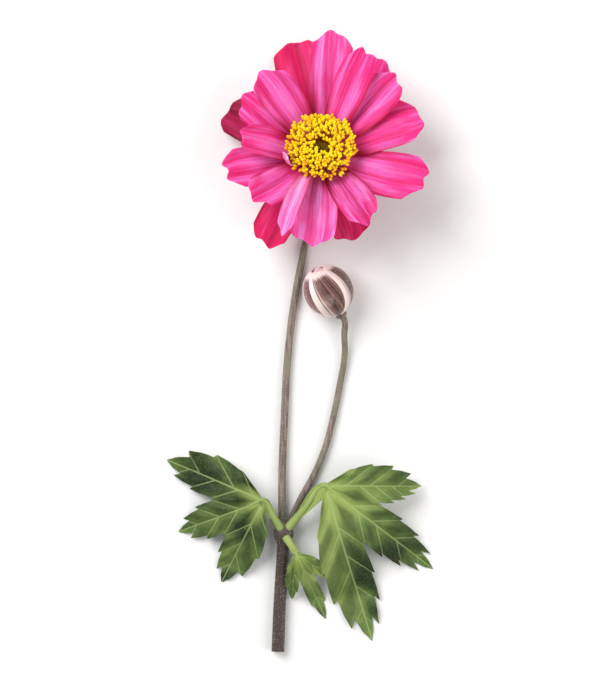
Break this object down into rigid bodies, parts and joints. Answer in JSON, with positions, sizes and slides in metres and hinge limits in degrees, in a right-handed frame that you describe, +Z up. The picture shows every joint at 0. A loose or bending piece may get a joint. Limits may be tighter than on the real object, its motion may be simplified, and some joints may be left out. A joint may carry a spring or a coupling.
{
  "type": "japanese anemone flower",
  "caption": "Picked semi-double pink Japanese anemone lying face up, with golden stamens, a round striped bud on its own stalk, and lobed, toothed leaves round the fork of its cut stem.",
  "frame": {"origin": "on the surface the flower lies on, at the middle of its footprint", "axes": "+Z up from that surface, +Y along the stem from its cut end to the bloom, +X to the right seen from above with the bloom at the top"},
  "size_m": [0.0714, 0.1652, 0.0318],
  "materials": {
    "petal": "satin, finely veined, rose pink, paler towards the edges and crimson at the foot",
    "petal_outer": "satin, finely veined, deep crimson pink",
    "stamen": "matt, golden anthers on salmon-yellow filaments",
    "pistil": "matt, finely bumpy, yellow-green",
    "stem": "matt, downy, purple-brown turning olive",
    "bud": "matt, silky down, brownish mauve with pale pink edges",
    "leaf": "satin, dark green with sunken paler veins"
  },
  "bodies": {
    "root": {"petal_01": "petal_outer", "petal_02": "petal_outer", "petal_03": "petal_outer", "petal_04": "petal_outer", "petal_05": "petal_outer", "petal_06": "petal", "petal_07": "petal", "petal_08": "petal", "petal_09": "petal", "petal_10": "petal", "petal_11": "petal", "petal_12": "petal", "petal_13": "petal", "petal_14": "petal", "petal_15": "petal", "petal_16": "petal", "petal_17": "petal", "petal_18": "petal", "petal_19": "petal", "stamens": "stamen", "pistils": "pistil", "stem": "stem", "bud": "bud", "leaf_left": "leaf", "leaf_right": "leaf", "leaf_small": "leaf"}
  },
  "joints": []
}
